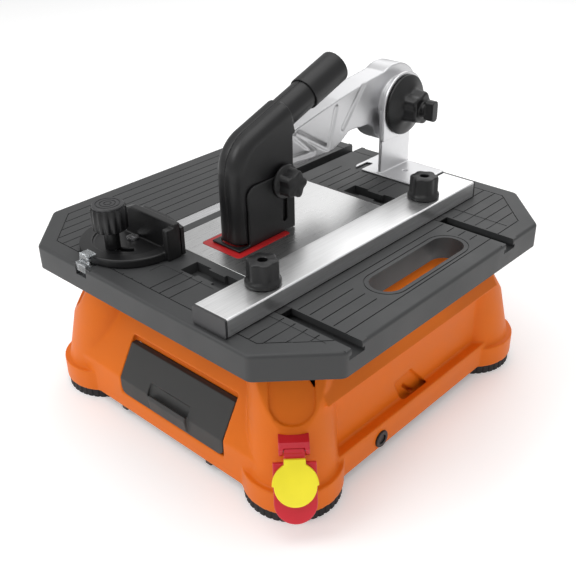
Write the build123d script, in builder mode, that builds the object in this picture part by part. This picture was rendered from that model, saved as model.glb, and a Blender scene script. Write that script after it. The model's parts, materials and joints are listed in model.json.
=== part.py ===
"""Benchtop table saw with an upright reciprocating blade, as an assembly of separate pieces.

Millimetres, +Z up, +Y the feed direction from front to back. The origin is on the ground under the
middle of the saw. Places are given from the middle of the table's top face, with at() and the three
plane helpers.
"""

import math
import os

from build123d import *

os.makedirs("parts", exist_ok=True)

# ---- Driving dimensions ----

table_top_z = 184
table_centre_y = -9.975
table_width = 406
table_depth = 420
table_thickness = 25.5
table_corner_cut = 55.4
table_plate = 8
boss_x = 119
boss_y = 131
table_skirt = 4
ground = -table_top_z
under = -table_thickness

groove_width = 1.1
groove_depth = 0.9
border_inset = 17.5
groove_pitch = 13.25
right_grooves = [117.5 + groove_pitch * i for i in range(5)]

miter_x = -76
miter_slot_width = 16
miter_slot_depth = 9.5
fence_slot_y = (-140, 100)
fence_slot_width = 14
fence_slot_depth = 10
slot_trough = 15

handle_x = 160
handle_length = 130
handle_width = 33
handle_rim = 4

plate_left = -57
plate_right = 97
plate_front = -119.5
plate_rear = 85
plate_thickness = 2
plate_ledge = 7
insert_width = 53
insert_depth = 74
insert_y = -63

blade_y = -60
stroke = 20
gear_z = -84
gear_teeth = 48
pinion_teeth = 12
gear_module = 1.0
pinion_z = gear_z - gear_module * (gear_teeth + pinion_teeth) / 2 - 0.1
shaft_r = 4
bearing_r = 11
running_gap = 0.05

wall = 3.5
slope = math.radians(30)
front_wall_y = -190
rear_wall_y = 186.5
side_wall_x = 175
rim_x = 137.5
housing_floor = -173
front_kink_z = -134
side_kink_z = -78
recess_depth = 12
recess_low_z = -145
corner_end_x = 131
corner_end_y = 141

drawer_left = -66
drawer_right = 87
drawer_low = -153
drawer_high = -100
pocket_high = -93
pocket_depth = 6
drawer_gap = 0.4

leg_x = 139.5
leg_y = 151
leg_r = 42
leg_top_r = 38
leg_foot_z = -150
leg_lean = 23.4
facet_r = 30.3
facet_z = -97
flange_r = 48
foot_r = 46.6

pivot_y = 187
pivot_z = 76.5
hub_r = 44.5
arm_left = -33
arm_right = -6
bracket_thickness = 3.8

hood_half = 16.5
hood_wall = 2.5
hood_front_y = -88
hood_rear_y = -10
hood_bottom_z = 4
tube_angle = 20
tube_r = 15.4
tube_start = (24, 126)
tube_length = 51
sleeve_r = 17.1

fence_left = 78.5
fence_width = 39.8
fence_front = -205
fence_rear = 169
fence_height = 18.3
fence_knob_x = fence_left + fence_width / 2


def at(x, y, z):
    """A point given from the middle of the table's top face."""
    return Vector(x, table_centre_y + y, table_top_z + z)


def level(z):
    """Horizontal plane, drawn on in X and Y."""
    return Plane(at(0, 0, z))


def side(x):
    """Plane facing +X, drawn on in Y and Z."""
    return Plane(at(x, 0, 0), x_dir=(0, 1, 0), z_dir=(1, 0, 0))


def front(y):
    """Plane facing the front, -Y, drawn on in X and Z."""
    return Plane(at(0, y, 0), x_dir=(1, 0, 0), z_dir=(0, -1, 0))


def octagon(inset):
    """The table's outline, drawn in by inset on every side."""
    with BuildSketch() as outline:
        Rectangle(table_width - 2 * inset, table_depth - 2 * inset)
        chamfer(outline.vertices(), table_corner_cut - inset * (2 - math.sqrt(2)))
    return outline.sketch


# ---- Table ----


def groove_runs():
    """Each straight groove as x, front y and rear y."""
    border = table_depth / 2 - border_inset
    runs = []
    for x in right_grooves:
        corner = max(0, x - (table_width / 2 - table_corner_cut - 7))
        low, high = -border + corner, border - corner
        runs.append((x, low, fence_slot_y[0] - 9))
        runs.append((x, fence_slot_y[1] + 9, high))
        if x < handle_x - handle_width / 2 - handle_rim - 1:
            runs.append((x, fence_slot_y[0] + 9, fence_slot_y[1] - 9))
        else:
            runs.append((x, fence_slot_y[0] + 9, -72))
            runs.append((x, 78, fence_slot_y[1] - 9))
    for i in range(6):
        x = -(104.25 + groove_pitch * i)
        corner = max(0, -x - (table_width / 2 - table_corner_cut - 7))
        runs.append((x, -border + corner, border - corner))
    for i in range(7):
        x = -48 + groove_pitch * i
        runs.append((x, -border, fence_slot_y[0] - 12 if i > 3 else -190))
        runs.append((x, fence_slot_y[1] + 12 if i > 3 else plate_rear + 3, 145))
    return runs


with BuildPart() as work_table:
    with BuildSketch(level(under)):
        add(octagon(0))
    extrude(amount=table_thickness)
    fillet(work_table.edges().filter_by(Axis.Z), 9)
    fillet(work_table.faces().sort_by(Axis.Z)[-1].edges(), 3.5)
    with BuildSketch(level(under)):
        add(octagon(table_skirt))
    extrude(amount=table_thickness - table_plate, mode=Mode.SUBTRACT)
    # The rib that stands on the housing's rim.
    with BuildSketch(level(under)):
        with Locations((0, -4.7)):
            Rectangle(2 * rim_x, 245)
            Rectangle(2 * rim_x - 8, 237, mode=Mode.SUBTRACT)
    extrude(amount=table_thickness - table_plate)
    # Troughs under the slots, clear of the skirt's outside.
    with Locations(at(miter_x, 0, -slot_trough / 2)):
        Box(26, table_depth - 2, slot_trough)
    for slot_y in fence_slot_y:
        with Locations(at(100, slot_y, -slot_trough / 2)):
            Box(204, 27, slot_trough)
    # Bosses over the legs for the table screws.
    with Locations(*[at(i * boss_x, j * boss_y, -24.75) for i in (-1, 1) for j in (-1, 1)]):
        Cylinder(7, 33.5)
    # Handle hole, with its rim above and its wall below.
    with BuildSketch(level(-23)):
        with Locations((handle_x, 5)):
            SlotOverall(handle_length + 2 * handle_rim, handle_width + 2 * handle_rim, rotation=90)
    extrude(amount=23)
    with BuildSketch(level(-24)):
        with Locations((handle_x, 5)):
            SlotOverall(handle_length, handle_width, rotation=90)
    extrude(amount=26, mode=Mode.SUBTRACT)
    # Miter slot.
    with Locations(at(miter_x, 0, -miter_slot_depth / 2)):
        Box(miter_slot_width, table_depth + 2, miter_slot_depth, mode=Mode.SUBTRACT)
    # Fence slots: a T section, open at the right edge, with two wide pockets at the left end.
    for slot_y in fence_slot_y:
        with Locations(at(104, slot_y, -fence_slot_depth / 2)):
            Box(204, fence_slot_width, fence_slot_depth, mode=Mode.SUBTRACT)
        with Locations(at(104, slot_y, -fence_slot_depth + 2)):
            Box(204, 20, 4, mode=Mode.SUBTRACT)
        with Locations(at(10, slot_y, -fence_slot_depth / 2), at(51, slot_y, -fence_slot_depth / 2)):
            Box(20, 21, fence_slot_depth, mode=Mode.SUBTRACT)
    # Recess and opening for the insert plate.
    plate_mid = ((plate_left + plate_right) / 2, (plate_front + plate_rear) / 2)
    plate_size = (plate_right - plate_left, plate_rear - plate_front)
    with BuildSketch(level(-plate_thickness)):
        with Locations(plate_mid):
            RectangleRounded(plate_size[0] + 0.6, plate_size[1] + 0.6, 4.3)
    extrude(amount=plate_thickness, mode=Mode.SUBTRACT)
    with BuildSketch(level(-table_plate)):
        with Locations(plate_mid):
            RectangleRounded(plate_size[0] - 2 * plate_ledge, plate_size[1] - 2 * plate_ledge, 4)
    extrude(amount=table_plate, mode=Mode.SUBTRACT)
    # Border line and the straight grooves.
    with BuildSketch(level(-groove_depth)):
        add(octagon(border_inset))
        add(octagon(border_inset + groove_width), mode=Mode.SUBTRACT)
        with Locations((handle_x, 5)):
            rim = 2 * (handle_rim + groove_width)
            SlotOverall(handle_length + rim, handle_width + rim, rotation=90)
            rim = 2 * handle_rim
            SlotOverall(handle_length + rim, handle_width + rim, rotation=90, mode=Mode.SUBTRACT)
        for x, low, high in groove_runs():
            with Locations((x, (low + high) / 2)):
                Rectangle(groove_width, high - low)
    extrude(amount=groove_depth, mode=Mode.SUBTRACT)
    # Scale panels beside the fence slots, sunk a little.
    with BuildSketch(level(-0.4)):
        with Locations((15, -163), (147, -163), (147, 121)):
            RectangleRounded(72, 17, 2)
    extrude(amount=0.4, mode=Mode.SUBTRACT)
    # Pilot holes for the table screws and the bracket bolts.
    with Locations(*[at(i * boss_x, j * boss_y, -34) for i in (-1, 1) for j in (-1, 1)]):
        Cylinder(1.9, 16, mode=Mode.SUBTRACT)
    with Locations(at(20, 178, -4), at(44, 178, -4)):
        Cylinder(2.6, 10, mode=Mode.SUBTRACT)
work_table.part.label = "work_table"
export_step(work_table.part, "parts/work_table.step")

with BuildPart() as table_screws:
    for i in (-1, 1):
        for j in (-1, 1):
            with Locations(at(i * boss_x, j * boss_y, -38.5)):
                Cylinder(1.9, 13)
            with Locations(at(i * boss_x, j * boss_y, -46.6)):
                Cylinder(4.2, 3.2)
table_screws.part.label = "table_screws"
export_step(table_screws.part, "parts/table_screws.step")

with BuildPart() as insert_plate:
    with BuildSketch(level(-plate_thickness)):
        with Locations(plate_mid):
            RectangleRounded(*plate_size, 4)
        with Locations((0, insert_y)):
            RectangleRounded(insert_width + 0.4, insert_depth + 0.4, 4.2, mode=Mode.SUBTRACT)
    extrude(amount=plate_thickness)
    chamfer(insert_plate.faces().sort_by(Axis.Z)[-1].edges(), 0.3)
insert_plate.part.label = "insert_plate"
export_step(insert_plate.part, "parts/insert_plate.step")

with BuildPart() as blade_insert:
    with BuildSketch(level(-3.2)):
        with Locations((0, insert_y)):
            RectangleRounded(insert_width, insert_depth, 4)
    extrude(amount=3.4)
    fillet(blade_insert.faces().sort_by(Axis.Z)[-1].edges(), 0.3)
    with Locations(at(0, insert_y, -1.6)):
        Box(3.6, 34, 6, mode=Mode.SUBTRACT)
blade_insert.part.label = "blade_insert"
export_step(blade_insert.part, "parts/blade_insert.step")


# ---- Base ----


def outward(sx, sy):
    """Level direction from the saw's middle out through a leg's corner."""
    return Vector(sx, sy, 0).normalized()


def facet_plane(sx, sy):
    """The flat on a leg's corner, leaning in; its Y runs up the flat."""
    out = outward(sx, sy)
    foot = at(sx * leg_x, sy * leg_y, facet_z) + out * facet_r
    across = Vector(-out.Y, out.X, 0)
    normal = out * math.cos(slope) + Vector(0, 0, math.sin(slope))
    return Plane(foot, x_dir=across, z_dir=normal)


def leg_solid(sx, sy, inset):
    """A splayed conical leg, drawn in by inset, with its corner flat."""
    foot = at(sx * leg_x, sy * leg_y, leg_foot_z)
    head = at(sx * leg_x, sy * leg_y, under) - outward(sx, sy) * leg_lean
    with BuildPart() as cone:
        with BuildSketch(Plane(foot)):
            Circle(leg_r - inset)
        with BuildSketch(Plane(head)):
            Circle(leg_top_r - inset)
        loft()
        with BuildSketch(facet_plane(sx, sy).offset(-2 * inset)):
            Rectangle(160, 300)
        extrude(amount=70, mode=Mode.SUBTRACT)
    return cone.part


def front_line(depth, low, high):
    """The front wall's line at a depth below its surface, from low up to high, as y and z."""
    kink = front_kink_z - depth * math.tan(slope / 2)
    rise = (high - kink) * math.tan(slope)
    return [(front_wall_y + depth, low), (front_wall_y + depth, kink), (front_wall_y + depth + rise, high)]


def body_solid(inset):
    """The box between the legs, with sloping upper walls, drawn in by inset."""
    lift = inset / math.cos(slope)
    run = (under - front_kink_z) * math.tan(slope)
    low = housing_floor - inset
    high = under + inset
    with BuildPart() as block:
        with BuildSketch(side(-200)):
            with BuildLine():
                Polyline(
                    (front_wall_y + inset, low),
                    (front_wall_y + inset, front_kink_z),
                    (front_wall_y + run + lift, high),
                    (rear_wall_y - run - lift, high),
                    (rear_wall_y - inset, front_kink_z),
                    (rear_wall_y - inset, low),
                    close=True,
                )
            make_face()
        extrude(amount=400)
        with BuildSketch(front(-250)):
            with BuildLine():
                Polyline(
                    (-side_wall_x + inset, low),
                    (-side_wall_x + inset, side_kink_z),
                    (-rim_x + 1.25 * inset, high),
                    (rim_x - 1.25 * inset, high),
                    (side_wall_x - inset, side_kink_z),
                    (side_wall_x - inset, low),
                    close=True,
                )
            make_face()
        extrude(amount=-500, mode=Mode.INTERSECT)
        # Recessed panels of the two side walls.
        for sx in (-1, 1):
            middle = (recess_low_z + side_kink_z) / 2
            with Locations(at(sx * (side_wall_x - recess_depth - inset + 25), 0, middle)):
                Box(50, 300, side_kink_z - recess_low_z + 2 * inset, mode=Mode.SUBTRACT)
        # The walls end inside the legs.
        with BuildSketch(level(-200)):
            for sx, sy in corners.values():
                with Locations((sx * (corner_end_x + 50), sy * (corner_end_y + 50))):
                    Rectangle(100, 100)
        extrude(amount=200, mode=Mode.SUBTRACT)
        # Pocket of the storage drawer in the front wall.
        low, high = drawer_low - inset, pocket_high + inset
        with BuildSketch(side(drawer_left - inset)):
            with BuildLine():
                back = front_line(pocket_depth + inset, low, high)
                Polyline((front_wall_y - 20, low), *back, (front_wall_y - 20, high), close=True)
            make_face()
        extrude(amount=drawer_right - drawer_left + 2 * inset, mode=Mode.SUBTRACT)
    return block.part


corners = {
    "front_left": (-1, -1),
    "front_right": (1, -1),
    "rear_left": (-1, 1),
    "rear_right": (1, 1),
}

with BuildPart() as base_housing:
    add(body_solid(0))
    for sx, sy in corners.values():
        add(leg_solid(sx, sy, 0))
        with BuildSketch(level(housing_floor - 1)):
            with Locations((sx * leg_x, sy * leg_y)):
                Circle(flange_r)
        extrude(amount=leg_foot_z - housing_floor + 1)
    add(body_solid(wall), mode=Mode.SUBTRACT)
    for sx, sy in corners.values():
        add(leg_solid(sx, sy, wall), mode=Mode.SUBTRACT)
        with BuildSketch(level(housing_floor - 1)):
            with Locations((sx * leg_x, sy * leg_y)):
                Circle(flange_r - wall)
        extrude(amount=leg_foot_z - housing_floor - 2, mode=Mode.SUBTRACT)
        with BuildSketch(level(leg_foot_z - 3)):
            with Locations((sx * leg_x, sy * leg_y)):
                Circle(leg_r - wall)
        extrude(amount=3.5, mode=Mode.SUBTRACT)
        # Arch-shaped pocket in the corner flat.
        with BuildSketch(facet_plane(sx, sy)):
            with Locations((0, 8 + 20.5)):
                Circle(20.5)
            with Locations((0, 8 + 20.5 + 40)):
                Rectangle(41, 80)
        extrude(amount=-3.2, mode=Mode.SUBTRACT)
        # Shelf for the table screw.
        shelf = leg_solid(sx, sy, wall - 0.6)
        with BuildPart() as shelf_disc:
            add(shelf)
            with BuildSketch(level(-45)):
                Rectangle(500, 500)
            extrude(amount=3.5, mode=Mode.INTERSECT)
            with Locations(at(sx * boss_x, sy * boss_y, -43)):
                Cylinder(2.4, 10, mode=Mode.SUBTRACT)
        add(shelf_disc.part)
    # Window of the storage drawer.
    with BuildSketch(side(drawer_left + 2)):
        with BuildLine():
            back = front_line(pocket_depth + 2 * wall, drawer_low + 1.5, drawer_high - 1.5)
            Polyline(
                (front_wall_y - 20, drawer_low + 1.5), *back, (front_wall_y - 20, drawer_high - 1.5), close=True
            )
        make_face()
    extrude(amount=drawer_right - drawer_left - 4, mode=Mode.SUBTRACT)
    # Vents in the rear wall, the hole for the cord gland and the switch button's hole.
    with BuildSketch(front(rear_wall_y + 5)):
        with Locations(*[(x, -152) for x in range(-56, 57, 14)]):
            SlotOverall(26, 5, rotation=90)
        with Locations((-84, -152)):
            Circle(7)
    extrude(amount=20, mode=Mode.SUBTRACT)
base_housing.part.label = "base_housing"
export_step(base_housing.part, "parts/base_housing.step")

for name, (sx, sy) in corners.items():
    with BuildPart() as foot:
        with BuildSketch(level(ground)):
            with Locations((sx * leg_x, sy * leg_y)):
                Circle(foot_r)
        extrude(amount=housing_floor - 1 - ground)
        with BuildSketch(level(ground)):
            with Locations((sx * leg_x, sy * leg_y)):
                with PolarLocations(foot_r + 0.6, 40):
                    Circle(1.5)
        extrude(amount=housing_floor - 1 - ground, mode=Mode.SUBTRACT)
        chamfer(foot.faces().sort_by(Axis.Z)[0].outer_wire().edges(), 0.4)
        with BuildSketch(level(housing_floor - 1)):
            with Locations((sx * leg_x, sy * leg_y)):
                Circle(flange_r - wall - 0.2)
                Circle(flange_r - wall - 4, mode=Mode.SUBTRACT)
        extrude(amount=8)
    foot.part.label = f"foot_{name}"
    export_step(foot.part, f"parts/foot_{name}.step")

with BuildPart() as bottom_plate:
    with BuildSketch(level(housing_floor + 1)):
        Rectangle(2 * (side_wall_x - wall) - 1, 190)
        with Locations((0, (front_wall_y + rear_wall_y) / 2)):
            Rectangle(178, rear_wall_y - front_wall_y - 2 * wall - 1)
    extrude(amount=3)
    with Locations(*[at(x, y, housing_floor + 2.5) for x in (-80, 80) for y in (-176, 172)]):
        Cylinder(2.2, 5, mode=Mode.SUBTRACT)
bottom_plate.part.label = "bottom_plate"
export_step(bottom_plate.part, "parts/bottom_plate.step")

with BuildPart() as base_screws:
    for x in (-80, 80):
        for y in (-176, 172):
            with Locations(at(x, y, housing_floor + 5)):
                Cylinder(1.8, 8)
            with Locations(at(x, y, housing_floor - 0.6)):
                Cylinder(4, 3.2)
base_screws.part.label = "base_screws"
export_step(base_screws.part, "parts/base_screws.step")

with BuildPart() as cover_clips:
    for x in (-68, 62):
        with Locations(at(x, front_wall_y + 6, housing_floor - 2)):
            Box(9, 9, 4)
    fillet(cover_clips.edges().filter_by(Axis.Z), 2)
cover_clips.part.label = "cover_clips"
export_step(cover_clips.part, "parts/cover_clips.step")

with BuildPart() as side_plug:
    with BuildSketch(side(side_wall_x)):
        with Locations((-62, -162)):
            Circle(9)
    extrude(amount=2)
    fillet(side_plug.faces().sort_by(Axis.X)[-1].edges(), 1)
    with BuildSketch(side(side_wall_x + 2)):
        with Locations((-62, -162)):
            Circle(5)
    extrude(amount=-1.2, mode=Mode.SUBTRACT)
side_plug.part.label = "side_plug"
export_step(side_plug.part, "parts/side_plug.step")

with BuildPart() as cord_gland:
    with BuildSketch(front(rear_wall_y - 8)):
        with Locations((-84, -152)):
            Circle(6.9)
    extrude(amount=-8)
    with BuildSketch(front(rear_wall_y)):
        with Locations((-84, -152)):
            Circle(10)
    extrude(amount=-4)
    with BuildSketch(front(rear_wall_y + 4)):
        with Locations((-84, -152)):
            Circle(8)
    extrude(amount=-12, taper=10)
    with BuildSketch(front(rear_wall_y - 9)):
        with Locations((-84, -152)):
            Circle(3.6)
    extrude(amount=-30, mode=Mode.SUBTRACT)
cord_gland.part.label = "cord_gland"
export_step(cord_gland.part, "parts/cord_gland.step")

# ---- Stop switch on the front right leg ----

switch_out = outward(1, -1)
switch_across = Vector(-switch_out.Y, switch_out.X, 0)
paddle_tilt = math.radians(27)
paddle_top = at(leg_x, -leg_y, -100) + switch_out * 44
paddle_normal = switch_out * math.cos(paddle_tilt) + Vector(0, 0, math.sin(paddle_tilt))
paddle_plane = Plane(paddle_top, x_dir=switch_across, z_dir=paddle_normal)
switch_middle = Plane(at(leg_x, -leg_y, 0), x_dir=switch_out, z_dir=-switch_across)
paddle_length = 66
paddle_width = 38
paddle_thickness = 6
key_r = 20
key_drop = 31
hinge_pin = (41.5, -103.8)

with BuildPart() as switch_frame:
    with BuildSketch(switch_middle.offset(-13.5)):
        with BuildLine():
            Polyline(
                (20, -95.8), (40.5, -95.8), (45.5, -100), (46, -104.5), (43, -108.5), (20, -108.5), close=True
            )
        make_face()
    extrude(amount=27)
    fillet(switch_frame.edges().filter_by(lambda e: abs(e.tangent_at(0).Z) > 0.2), 0.8)
    with BuildSketch(switch_middle.offset(-9.6)):
        with BuildLine():
            Polyline((36.5, -99.4), (60, -99.4), (70, -120), (36.5, -120), close=True)
        make_face()
    extrude(amount=19.2, mode=Mode.SUBTRACT)
    with BuildSketch(switch_middle.offset(-14)):
        with Locations(hinge_pin):
            Circle(1.5)
    extrude(amount=28, mode=Mode.SUBTRACT)
    add(leg_solid(1, -1, 0), mode=Mode.SUBTRACT)
switch_frame.part.label = "switch_frame"
export_step(switch_frame.part, "parts/switch_frame.step")

with BuildPart() as switch_pin:
    with BuildSketch(switch_middle.offset(-13)):
        with Locations(hinge_pin):
            Circle(1.5)
    extrude(amount=26)
switch_pin.part.label = "switch_pin"
export_step(switch_pin.part, "parts/switch_pin.step")

with BuildPart() as power_switch:
    with BuildSketch(switch_middle.offset(-12)):
        with Locations((12, -128)):
            Rectangle(24, 30)
    extrude(amount=24)
    with BuildSketch(switch_middle.offset(-6)):
        with Locations((26, -128)):
            Rectangle(10, 12)
    extrude(amount=12)
power_switch.part.label = "power_switch"
export_step(power_switch.part, "parts/power_switch.step")

with BuildPart() as stop_paddle:
    with BuildSketch(paddle_plane.offset(-paddle_thickness)):
        with Locations((0, -paddle_length + paddle_width / 2)):
            Circle(paddle_width / 2)
        with Locations((0, -(12 + paddle_length - paddle_width / 2) / 2)):
            Rectangle(paddle_width, paddle_length - paddle_width / 2 - 12)
        with Locations((0, -10.5)):
            Rectangle(18.4, 11)
    extrude(amount=paddle_thickness)
    fillet(stop_paddle.faces().sort_by(Axis(paddle_top, paddle_normal))[-1].edges(), 1)
    with BuildSketch(switch_middle.offset(-9.2)):
        with Locations(hinge_pin):
            Circle(4)
    extrude(amount=18.4)
    with BuildSketch(switch_middle.offset(-10)):
        with Locations(hinge_pin):
            Circle(1.5 + running_gap)
    extrude(amount=20, mode=Mode.SUBTRACT)
    with BuildSketch(paddle_plane.offset(-paddle_thickness - 1)):
        with Locations((0, -key_drop)):
            Circle(4 + running_gap)
    extrude(amount=paddle_thickness + 2, mode=Mode.SUBTRACT)
stop_paddle.part.label = "stop_paddle"
export_step(stop_paddle.part, "parts/stop_paddle.step")

with BuildPart() as safety_key:
    with BuildSketch(paddle_plane.offset(0.3)):
        with Locations((0, -key_drop)):
            Circle(key_r)
        with Locations((0, -key_drop + key_r)):
            Rectangle(22, 8)
    extrude(amount=5)
    with BuildSketch(paddle_plane.offset(0.3)):
        with Locations((0, -key_drop)):
            Circle(4)
    extrude(amount=-paddle_thickness)
safety_key.part.label = "safety_key"
export_step(safety_key.part, "parts/safety_key.step")

# ---- Storage drawer ----

face_thickness = 5.4
lip_left = -18
lip_right = 38
tray_wall = 2
tray_rear = -100
tray_low = drawer_low + 4
tray_high = drawer_high - 4

with BuildPart() as drawer_front:
    with BuildSketch(side(drawer_left + drawer_gap)):
        with BuildLine():
            outer = front_line(0, drawer_low + drawer_gap, drawer_high)
            inner = front_line(face_thickness, drawer_low + drawer_gap, drawer_high)
            Polyline(*outer, *reversed(inner), close=True)
        make_face()
    extrude(amount=drawer_right - drawer_left - 2 * drawer_gap)
    fillet(drawer_front.edges().group_by(Axis.Z)[0].filter_by(Axis.X, reverse=True), 8)
    # Finger lip in the middle of the lower band.
    with BuildSketch(side(lip_left)):
        with BuildLine():
            Polyline((-188, -151), (-192, -149), (-194, -134), (-192, -131.5), (-187.5, -140), close=True)
        make_face()
    extrude(amount=lip_right - lip_left)
drawer_front.part.label = "drawer_front"
export_step(drawer_front.part, "parts/drawer_front.step")


with BuildPart() as drawer_tray:
    with BuildSketch(side(drawer_left + 4)):
        with BuildLine():
            near = front_line(face_thickness, tray_low, tray_high)
            Polyline(*near, (tray_rear, tray_high), (tray_rear, tray_low), close=True)
        make_face()
    extrude(amount=drawer_right - drawer_left - 8)
    with BuildSketch(side(drawer_left + 4 + tray_wall)):
        with BuildLine():
            near = front_line(face_thickness + tray_wall, tray_low + tray_wall, tray_high + 2)
            back = tray_rear - tray_wall
            Polyline(*near, (back, tray_high + 2), (back, tray_low + tray_wall), close=True)
        make_face()
    extrude(amount=drawer_right - drawer_left - 8 - 2 * tray_wall, mode=Mode.SUBTRACT)
drawer_tray.part.label = "drawer_tray"
export_step(drawer_tray.part, "parts/drawer_tray.step")

# ---- Rear bracket and arm ----

bolt_r = 5
tongue_front_y = -36
tongue_z = 67
tongue_height = 24
hood_screw_y = -26
hood_screw_z = (60, 74)

with BuildPart() as arm_bracket:
    with BuildSketch(level(0.1)):
        with Locations((10, 178)):
            RectangleRounded(90, 58, 9)
        with Locations((10, 203)):
            Rectangle(90, 8)
        with Locations((-26, 149)):
            SlotOverall(46, 8, rotation=90, mode=Mode.SUBTRACT)
    extrude(amount=2.2)
    with BuildSketch(side(0)):
        with Locations((179.5, 21)):
            Rectangle(55, 41.8)
        with BuildLine():
            Polyline((152, 41), (207, 41), (pivot_y + 20, pivot_z), (pivot_y - 36, pivot_z), close=True)
        make_face()
        with Locations((pivot_y, pivot_z)):
            Circle(30)
    extrude(amount=bracket_thickness)
    with BuildSketch(side(bracket_thickness)):
        with Locations((pivot_y, pivot_z)):
            Circle(37)
        with Locations((pivot_y - 18.5, 58)):
            Rectangle(37, 34)
    extrude(amount=3.6)
    with BuildSketch(side(-5)):
        with Locations((pivot_y, pivot_z)):
            Circle(bolt_r)
    extrude(amount=20, mode=Mode.SUBTRACT)
    with Locations(at(20, 178, 0), at(44, 178, 0)):
        Cylinder(2.1, 10, mode=Mode.SUBTRACT)
arm_bracket.part.label = "arm_bracket"
export_step(arm_bracket.part, "parts/arm_bracket.step")

with BuildPart() as bracket_bolts:
    for x in (20, 44):
        with Locations(at(x, 178, -3)):
            Cylinder(2.1, 10)
        with Locations(at(x, 178, -10.1)):
            Cylinder(4, 4.2)
bracket_bolts.part.label = "bracket_bolts"
export_step(bracket_bolts.part, "parts/bracket_bolts.step")

with BuildPart() as pivot_bolt:
    with BuildSketch(side(arm_left - 0.3)):
        with Locations((pivot_y, pivot_z)):
            Circle(bolt_r)
    extrude(amount=24 - arm_left)
    with BuildSketch(side(arm_left - 0.3)):
        with Locations((pivot_y, pivot_z)):
            RegularPolygon(9, 6)
    extrude(amount=-6)
    fillet(pivot_bolt.faces().sort_by(Axis.X)[0].edges(), 0.8)
pivot_bolt.part.label = "pivot_bolt"
export_step(pivot_bolt.part, "parts/pivot_bolt.step")


def arm_outline(inset):
    """Side face of the arm: a long tapered web that ends in the round hub."""
    with BuildSketch() as face:
        with BuildLine():
            Polyline(
                (hood_rear_y + inset, 50 + inset),
                (78, 50 + inset),
                (93, 56 + inset),
                (106, 64 + inset),
                (140, 62 + inset),
                (pivot_y - 20, pivot_z - 30 + inset),
                (pivot_y, pivot_z),
                (pivot_y - 12, pivot_z + hub_r - 4 - inset),
                (135, 112 - inset),
                (86, 104 - inset),
                (14, 88 - inset),
                (hood_rear_y + inset, 80 - inset),
                close=True,
            )
        make_face()
        with Locations((pivot_y, pivot_z)):
            Circle(hub_r - inset)
    return face.sketch


with BuildPart() as support_arm:
    with BuildSketch(side(arm_left)):
        add(arm_outline(0))
    extrude(amount=arm_right - arm_left)
    with BuildSketch(side(arm_left)):
        add(arm_outline(4))
        with Locations((pivot_y, pivot_z)):
            Circle(16, mode=Mode.SUBTRACT)
    extrude(amount=arm_right - arm_left - 4, mode=Mode.SUBTRACT)
    with BuildSketch(side(arm_right)):
        with Locations((pivot_y, pivot_z)):
            Circle(30)
    extrude(amount=-arm_right - 0.4)
    with BuildSketch(side(arm_left - 5)):
        with Locations((pivot_y, pivot_z)):
            Circle(bolt_r + running_gap)
    extrude(amount=60, mode=Mode.SUBTRACT)
    # Tongue that the hood is screwed to.
    with Locations(at(-9.8, (tongue_front_y + hood_rear_y) / 2 + 1, tongue_z)):
        Box(7.6, hood_rear_y - tongue_front_y + 2, tongue_height)
    for z in hood_screw_z:
        with BuildSketch(side(-20)):
            with Locations((hood_screw_y, z)):
                Circle(1.6)
        extrude(amount=20, mode=Mode.SUBTRACT)
support_arm.part.label = "support_arm"
export_step(support_arm.part, "parts/support_arm.step")

with BuildPart() as arm_lock_knob:
    with BuildSketch(side(8)):
        with Locations((pivot_y, pivot_z)):
            Circle(34)
    extrude(amount=3)
    with BuildSketch(side(11)):
        with Locations((pivot_y, pivot_z)):
            Circle(34)
    extrude(amount=7, taper=60)
    with BuildSketch(side(14)):
        with Locations((pivot_y, pivot_z)):
            Circle(15.5)
            with PolarLocations(15, 5):
                Circle(4)
    extrude(amount=20)
    with BuildSketch(side(34)):
        with Locations((pivot_y, pivot_z)):
            Circle(9)
    extrude(amount=6)
    with BuildSketch(side(39)):
        with Locations((pivot_y, pivot_z)):
            Rectangle(10, 24)
    extrude(amount=11)
    with BuildSketch(side(7)):
        with Locations((pivot_y, pivot_z)):
            Circle(bolt_r + running_gap)
    extrude(amount=19, mode=Mode.SUBTRACT)
arm_lock_knob.part.label = "arm_lock_knob"
export_step(arm_lock_knob.part, "parts/arm_lock_knob.step")

# ---- Hood and dust tube ----

tube_direction = Vector(0, math.cos(math.radians(tube_angle)), math.sin(math.radians(tube_angle)))


def tube_plane(along):
    """Plane across the dust tube, at a distance along it from the sleeve's lower end."""
    centre = at(0, *tube_start) + tube_direction * along
    return Plane(centre, x_dir=(1, 0, 0), z_dir=tube_direction)


def hood_body(inset):
    """The hood with the lower stretch of its tube, drawn in by inset and open below."""
    rise = math.tan(math.radians(tube_angle))
    top = tube_r / math.cos(math.radians(tube_angle)) - inset
    y0, z0 = tube_start

    def tube_line(y, offset):
        return (y, z0 + offset + (y - y0) * rise)

    bottom_z = hood_bottom_z - inset
    with BuildPart() as body:
        with BuildSketch(side(-hood_half + inset)):
            with BuildLine():
                Polyline(
                    (hood_front_y + inset, bottom_z),
                    tube_line(hood_front_y + inset, top),
                    tube_line(-14, top),
                    tube_line(-6, -top),
                    tube_line(hood_rear_y - inset, -top),
                    (hood_rear_y - inset, bottom_z),
                    close=True,
                )
            make_face()
        extrude(amount=2 * (hood_half - inset))
        nose = body.edges().filter_by(Axis.X).group_by(Axis.Y)[0].sort_by(Axis.Z)[-1]
        fillet(nose, 42 - inset)
        front_edges = body.edges().filter_by(Axis.Z).group_by(Axis.Y)[0]
        rounded = front_edges + body.edges().filter_by(GeomType.CIRCLE).filter_by(
            lambda e: e.radius > 20
        )
        fillet(rounded, (hood_half - inset) * 0.72)
        with BuildSketch(tube_plane(-56)):
            Circle(tube_r - inset)
        extrude(amount=56 + 12 + (12 if inset else 0))
    return body.part


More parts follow.
